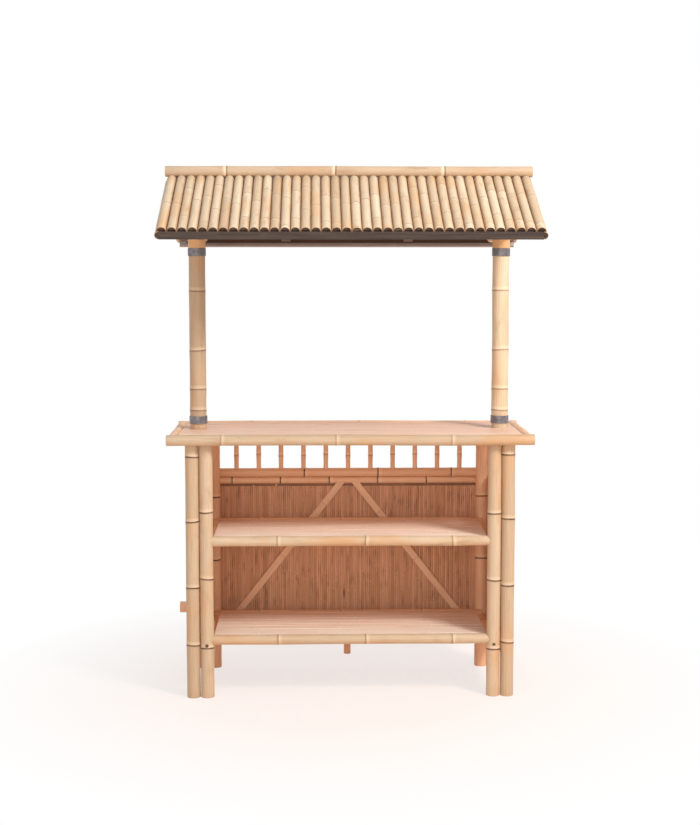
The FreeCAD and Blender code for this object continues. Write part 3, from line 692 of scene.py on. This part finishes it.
# The shelves' poles and slats.
FRONT_SHELF_NODES = (0.292, 0.655, 1.015)
REAR_SHELF_NODES = (0.2, 0.56, 0.92)
for name, crest in (("middle_shelf", MIDDLE_SHELF_Z), ("lower_shelf", LOWER_SHELF_Z)):
    z = crest - SHELF_POLE / 2
    for row, y, nodes, material in (("front", -POST_Y, FRONT_SHELF_NODES, PALE),
                                    ("rear", SHELF_REAR_Y, REAR_SHELF_NODES, TAN)):
        pole = Surface("%s %s" % (name, row))
        pole.pole((-INNER_POST_X, y, z), (INNER_POST_X, y, z), SHELF_POLE, THIN_WALL, nodes,
                  sides=28, line=0.5, swell=0.6, bend=0.0016, tone_range=(0.2, 1.0))
        pole.piece("%s_%s_pole" % (name, row), material, [name + "_poles"])
    lay_slats(name + "_top_slats", name + "_slats", INNER_POST_X - POST_DIAMETER / 2 - SEAT,
              -POST_Y + SHELF_POLE / 2, SHELF_REAR_Y - SHELF_POLE / 2, crest - SLAT_DROP, 0.7, SHELF)


def narrowing(slits):
    """How far a strip's edges draw in along it, from its slits of (place, reach, depth)."""
    def narrow(s):
        return sum(depth * math.exp(-((s - place) / reach) ** 2) for place, reach, depth in slits)

    return narrow


def split_screen(name, node, start, along, length, facings):
    """Upright split strips on a panel's faces, with slits that open here and there."""
    screen = Surface(name)
    chance = screen.chance
    start, along = Vector(start), Vector(along)
    bottom, top = Vector((0, 0, PANEL_BOTTOM)), Vector((0, 0, PANEL_TOP))
    count = round(length / STRIP_PITCH)
    strip = length / count
    for facing in facings:
        facing = Vector(facing)
        middle = start + along * (length / 2)
        # The backing sheet takes the deepest tone and painted shade, so the slits between the strips look
        # dark.
        screen.lath(middle + bottom, middle + top, length, BACKING_THICKNESS, facing, stations=1,
                    tone_range=(1.0, 1.0), shade=0.7)
        for index in range(count):
            slits = []
            for _ in range(chance.choice((1, 2, 2, 3))):
                place = chance.uniform(0.0, PANEL_TOP - PANEL_BOTTOM)
                slits.append((place, chance.uniform(*SLIT_REACH), chance.uniform(*SLIT_DEPTH)))
            rise = STRIP_RISE + chance.uniform(-0.0006, 0.0004)
            base = start + along * ((index + 0.5) * strip) + facing * rise
            screen.lath(base + bottom, base + top, strip - STRIP_GAP, STRIP_THICKNESS, facing,
                        stations=54, narrow=narrowing(slits), node_pitch=0.26, crown=0.0007,
                        line=0.3, bow=0.0003)
    screen.piece(name, PANEL, [node])


# The screens and their rails.
guest_half = INNER_POST_X - POST_DIAMETER / 2 + PANEL_OVERLAP
for face, sign in (("inner", -1), ("outer", 1)):
    split_screen("guest_panel_%s_strips" % face, "guest_panel", (-guest_half, SCREEN_Y, 0),
                 (1, 0, 0), 2 * guest_half, [(0, sign, 0)])
side_half = POST_Y - POST_DIAMETER / 2 + PANEL_OVERLAP
for side, sign in (("left", -1), ("right", 1)):
    split_screen("%s_side_panel_strips" % side, "side_panels",
                 (sign * OUTER_POST_X, -side_half, 0), (0, 1, 0), 2 * side_half,
                 [(-1, 0, 0), (1, 0, 0)])

GUEST_RAILS = (("guest_upper_rail", UPPER_RAIL, (0.40, 0.725, 1.05)),
               ("guest_lower_rail", LOWER_RAIL, (0.08, 0.295, 0.51, 0.725, 0.94)),
               ("guest_bottom_rail", BOTTOM_RAIL, (0.25, 0.58, 0.91)))
for name, (diameter, z), nodes in GUEST_RAILS:
    rail = Surface(name)
    rail.pole((-INNER_POST_X, SCREEN_Y, z), (INNER_POST_X, SCREEN_Y, z), diameter + 2 * SEAT,
              THIN_WALL, nodes, bend=0.0002, waist=0.0)
    rail.piece(name + "_pole", TAN, [name])
side_rails = Surface("side rails")
for sign in (-1, 1):
    x = sign * OUTER_POST_X
    for diameter, z in (UPPER_RAIL, LOWER_RAIL, BOTTOM_RAIL):
        side_rails.pole((x, -POST_Y, z), (x, POST_Y, z), diameter, THIN_WALL, (0.13, 0.34))
side_rails.piece("side_rail_poles", TAN, ["side_rails"])


def balusters(name, node, places, top):
    """Thin canes from the upper rail to the counter."""
    canes = Surface(name)
    for x, y in places:
        canes.pole((x, y, UPPER_RAIL[1]), (x, y, top), BALUSTER_DIAMETER, THIN_WALL,
                   [0.078 + canes.chance.uniform(-0.006, 0.006)], sides=16, line=0.4, swell=1.4,
                   bend=0.0006)
    canes.piece(name, TAN, [node])


balusters("guest_baluster_canes", "guest_balusters",
          [((i - 5) * BALUSTER_PITCH, SCREEN_Y) for i in range(11)],
          SLAT_TOP - SLAT_THICKNESS - 0.001)
balusters("side_baluster_canes", "side_balusters",
          [(sign * OUTER_POST_X, i * BALUSTER_PITCH) for sign in (-1, 1) for i in (-1, 0, 1)],
          POST_TOP - 0.012)

# The two diagonal braces, whose ends go a little way into the rails.
braces = Surface("braces")
for sign in (-1, 1):
    foot = Vector((sign * BRACE_FOOT_X, BRACE_Y, PANEL_BOTTOM))
    head = Vector((sign * BRACE_HEAD_X, BRACE_Y, PANEL_TOP))
    hidden = (head - foot).normalized() * 0.016
    braces.lath(foot - hidden, head + hidden, BRACE_WIDTH, BRACE_THICKNESS, (0, -1, 0),
                crown=0.0012, node_pitch=0.3, line=0.3)
braces.piece("brace_strips", BRACE, ["screen_braces"])

# The foot rail, its leg and arms, and the stretchers between the inner posts.
half_rail = ROOF_LENGTH / 2
foot_rail = Surface("foot rail")
foot_rail.pole((-half_rail, FOOT_RAIL_Y, FOOT_RAIL_Z), (half_rail, FOOT_RAIL_Y, FOOT_RAIL_Z),
               FOOT_RAIL_DIAMETER, MIDDLE_WALL, spaced(0.21, 0.33, ROOF_LENGTH), sides=32)
foot_rail.piece("foot_rail_pole", TAN, ["foot_rail"])
leg = Surface("leg")
leg.pole((0, FOOT_RAIL_Y, 0), (0, FOOT_RAIL_Y, FOOT_RAIL_Z - 0.01), FOOT_RAIL_LEG, THIN_WALL,
         (0.155,), sides=20)
leg.piece("foot_rail_leg_pole", TAN, ["foot_rail_leg"])
for name, start_y, end_y, nodes in (("foot_rail_arms", POST_Y, FOOT_RAIL_Y, (0.11,)),
                                    ("base_stretchers", -POST_Y, POST_Y, (0.12, 0.34))):
    arms = Surface(name)
    for sign in (-1, 1):
        x = sign * INNER_POST_X
        arms.pole((x, start_y, FOOT_RAIL_Z), (x, end_y, FOOT_RAIL_Z), FOOT_RAIL_ARM, THIN_WALL,
                  nodes)
    arms.piece(name + "_poles", TAN, [name])

# The roof posts with their stubs, heads and tie beams.
# The left roof post takes the deepest tones as painted shade, and the right one the lighter copy of the
# pale bamboo as painted light.
for side, sign, tones, material in (("left", -1, (0.9, 1.1), PALE),
                                    ("right", 1, (0.0, 0.4), LIT_PALE)):
    x = sign * ROOF_POST_X
    post = Surface("roof post %s" % side)
    post.pole((x, 0, ROOF_POST_BOTTOM), (x, 0, HEAD_BOTTOM - SEAT), ROOF_POST_DIAMETER,
              ROOF_POST_WALL, (0.04, 0.13, 0.295, 0.545), sides=36, line=0.6, bend=0.0010,
              tone_range=tones)
    post.piece("%s_roof_pole" % side, material, ["%s_roof_post" % side])
stubs = Surface("stubs")
heads = Surface("heads")
beams = Surface("beams")
for sign in (-1, 1):
    x = sign * ROOF_POST_X
    stubs.pole((x, 0, SLAT_TOP + SEAT), (x, 0, ROOF_POST_BOTTOM - SEAT), ROOF_POST_DIAMETER,
               ROOF_POST_WALL, (), sides=36)
    heads.pole((x, 0, HEAD_BOTTOM), (x, 0, HEAD_TOP), HEAD_DIAMETER, ROOF_POST_WALL, (), sides=36,
               tone_range=(0.5, 0.8), depth=0.01)
    beams.pole((x, -TIE_BEAM_Y, TIE_BEAM_Z), (x, TIE_BEAM_Y, TIE_BEAM_Z), TIE_BEAM_DIAMETER,
               MIDDLE_WALL, (0.18, 0.50), sides=30, line=0.5)
stubs.piece("post_stub_poles", PALE, ["post_stubs"])
heads.piece("post_head_rings", HEAD, ["post_heads"])
beams.piece("tie_beam_poles", HEAD, ["tie_beams"])


def on_slope(sign, x, down, out):
    """A place on the front or rear slope, from its distance down the slope and out of it."""
    y = down * math.cos(ROOF_SLOPE) + out * math.sin(ROOF_SLOPE)
    z = CANE_PLANE - down * math.sin(ROOF_SLOPE) + out * math.cos(ROOF_SLOPE)
    return Vector((x, sign * y, z))


def out_of_slope(sign):
    """The way the front or rear slope faces."""
    return on_slope(sign, 0, 0, 1) - on_slope(sign, 0, 0, 0)


# The roof's canes and verges.
cane_count = int(ROOF_LENGTH // CANE_PITCH)
for row, sign in (("front", -1), ("rear", 1)):
    canes = Surface("%s canes" % row)
    for index in range(cane_count):
        x = (index - (cane_count - 1) / 2) * CANE_PITCH
        first = canes.chance.uniform(0.05, 0.30)
        nodes = (first, first + canes.chance.uniform(0.2, 0.3))
        canes.pole(on_slope(sign, x, CANE_START, 0), on_slope(sign, x, SLOPE_LENGTH, 0),
                   CANE_DIAMETER, CANE_WALL, nodes, sides=14, arc=HALF_ROUND,
                   up=out_of_slope(sign), bend=0.0005, line=0.5, swell=0.45, band=0.4)
    canes.piece("%s_cane_roof" % row, ROOF, ["%s_roof_canes" % row])
verges = Surface("verges")
below = -VERGE_DIAMETER / 2 - SEAT
for sign in (-1, 1):
    for side in (-1, 1):
        x = side * VERGE_X
        verges.pole(on_slope(sign, x, 0.008, below), on_slope(sign, x, SLOPE_LENGTH, below),
                    VERGE_DIAMETER, THIN_WALL, (0.2, 0.41), sides=16, arc=HALF_ROUND,
                    up=(side, 0, 0), bend=0.0003, line=0.5, swell=0.5)
verges.piece("verge_half_canes", VERGE, ["verge_canes"])

# The purlins lie where the source has them. Its rings rise above their skin.
purlins = Surface("purlins")
low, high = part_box("roof_purlins")
for sign in (-1, 1):
    y = sign * (high.y - RING_RISE - PURLIN_DIAMETER / 2)
    z = (low.z + high.z) / 2
    purlins.pole((low.x, y, z), (high.x, y, z), PURLIN_DIAMETER, THIN_WALL,
                 spaced(0.2, 0.38, high.x - low.x))
purlins.piece("roof_purlin_poles", RIDGE, ["roof_purlins"])

# Half-round bearers under the slats.
bearers = Surface("bearers")
half_step = 1.5 * BALUSTER_PITCH
z = SLAT_TOP - SLAT_THICKNESS - SEAT
for x in (-OUTER_POST_X, -INNER_POST_X, -3 * half_step, -half_step, half_step, 3 * half_step,
          INNER_POST_X, OUTER_POST_X):
    bearers.pole((x, -EDGE_Y, z), (x, EDGE_Y, z), COUNTER_BEARER, COUNTER_BEARER_WALL,
                 (0.16, 0.41), arc=HALF_ROUND, up=(0, 0, -1), bend=0.0, waist=0.0, swell=0.3)
bearers.piece("counter_split_bearers", PALE, ["counter_bearers"])
bearers = Surface("shelf bearers")
for crest in (MIDDLE_SHELF_Z, LOWER_SHELF_Z):
    z = crest - SLAT_DROP - SLAT_THICKNESS - SEAT
    for x in SHELF_BEARER_X:
        bearers.pole((x, -POST_Y + 0.01, z), (x, SHELF_REAR_Y - 0.01, z), SHELF_BEARER,
                     SHELF_BEARER_WALL, (0.21,), arc=HALF_ROUND, up=(0, 0, -1), bend=0.0,
                     waist=0.0, swell=0.3)
bearers.piece("shelf_split_bearers", PALE, ["shelf_bearers"])

# The ridge pole runs from right to left, so that its pale bands lie left of the nodes.
ridge = Surface("ridge")
ridge.pole((ROOF_LENGTH / 2, 0, RIDGE_Z), (-ROOF_LENGTH / 2, 0, RIDGE_Z), RIDGE_DIAMETER,
           MIDDLE_WALL, (0.369, 0.825, 1.281), sides=32, line=0.6, band=2.0)
ridge.piece("ridge_round_pole", RIDGE, ["ridge_pole"])

# What stays as the source has it gets a material and softened edges.
KEPT_NODES = (("front_fascia", DARK_TIMBER), ("rear_fascia", WORN_TIMBER_PAINTED_LIGHT_AND_SHADE),
              ("front_rafters", GREY_TIMBER), ("rear_rafters", GREY_TIMBER),
              ("roof_battens", GREY_TIMBER), ("ridge_beam", DARK_TIMBER),
              ("lower_collars", COLLAR), ("upper_collars", COLLAR))
for name, material in KEPT_NODES:
    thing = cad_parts[name]
    thing.data.materials.clear()
    thing.data.materials.append(material)
    edges = thing.modifiers.new("soft_edges", "BEVEL")
    edges.width = 0.0012
    edges.segments = 2
    edges.limit_method = "ANGLE"
    edges.angle_limit = math.radians(50)


def floor_material():
    """Pale floor that fades to plain white away from the bar."""
    m = Nodes(bpy.data.materials.new("floor"))
    place = m.place()
    colour = m.mix(m.noise(place, scale=3.0), srgb(255, 220, 198), srgb(255, 230, 210))
    m.surface(colour, 0.9)
    distance = m.add("ShaderNodeVectorMath", {0: place}, operation="LENGTH").outputs["Value"]
    share = m.math("MULTIPLY", m.spread(distance, 0.7, 1.7, 0.70, 1.0), m.seen())
    white = m.add("ShaderNodeEmission", {"Color": (1, 1, 1, 1), "Strength": 1.0}).outputs[0]
    lit = m.tree.nodes["Principled BSDF"].outputs[0]
    both = m.add("ShaderNodeMixShader", {0: share, 1: lit, 2: white}).outputs[0]
    m.put(m.tree.nodes["Material Output"].inputs["Surface"], both)
    return m.owner


FLOOR_REACH = 30.0
floor_mesh = bpy.data.meshes.new("floor")
floor_mesh.from_pydata([(-FLOOR_REACH, -FLOOR_REACH, 0), (FLOOR_REACH, -FLOOR_REACH, 0),
                        (FLOOR_REACH, FLOOR_REACH, 0), (-FLOOR_REACH, FLOOR_REACH, 0)], [],
                       [(0, 1, 2, 3)])
floor_mesh.materials.append(floor_material())
floor = bpy.data.objects.new("floor", floor_mesh)
bpy.context.scene.collection.objects.link(floor)

# A white room that gives less light than it shows.
world = bpy.data.worlds.new("white_room")
bpy.context.scene.world = world
room = Nodes(world)
background = room.tree.nodes["Background"]
background.inputs["Color"].default_value = (1, 1, 1, 1)
room.put(background.inputs["Strength"], room.spread(room.seen(), 0.0, 1.0, 0.60, 1.0))


def soft_lamp(name, place, aim, size, power, colour=(1, 1, 1)):
    """A square soft lamp at place, facing aim."""
    lamp = bpy.data.lights.new(name, "AREA")
    lamp.size = size
    lamp.energy = power
    lamp.color = colour
    thing = bpy.data.objects.new(name, lamp)
    thing.location = place
    thing.rotation_euler = (Vector(aim) - Vector(place)).to_track_quat("-Z", "Y").to_euler()
    bpy.context.scene.collection.objects.link(thing)


soft_lamp("key", (3.3, -3.6, 4.9), (0, 0, 0.8), 1.3, 258.0, (1.0, 0.975, 0.945))
soft_lamp("fill", (-1.0, -6.2, 1.6), (0, 0, 0.7), 2.4, 48.0)

camera = bpy.data.cameras.new("camera")
camera.sensor_fit = "VERTICAL"
camera.sensor_height = 36.0
camera.lens = 65.0
eye = bpy.data.objects.new("camera", camera)
eye.location = (-0.14, -6.30, 1.78)
eye.rotation_euler = (math.radians(90 - 5.59), 0.0, math.radians(-1.30))
bpy.context.scene.collection.objects.link(eye)
bpy.context.scene.camera = eye

bpy.context.scene.view_settings.view_transform = "Standard"

bpy.context.view_layer.update()
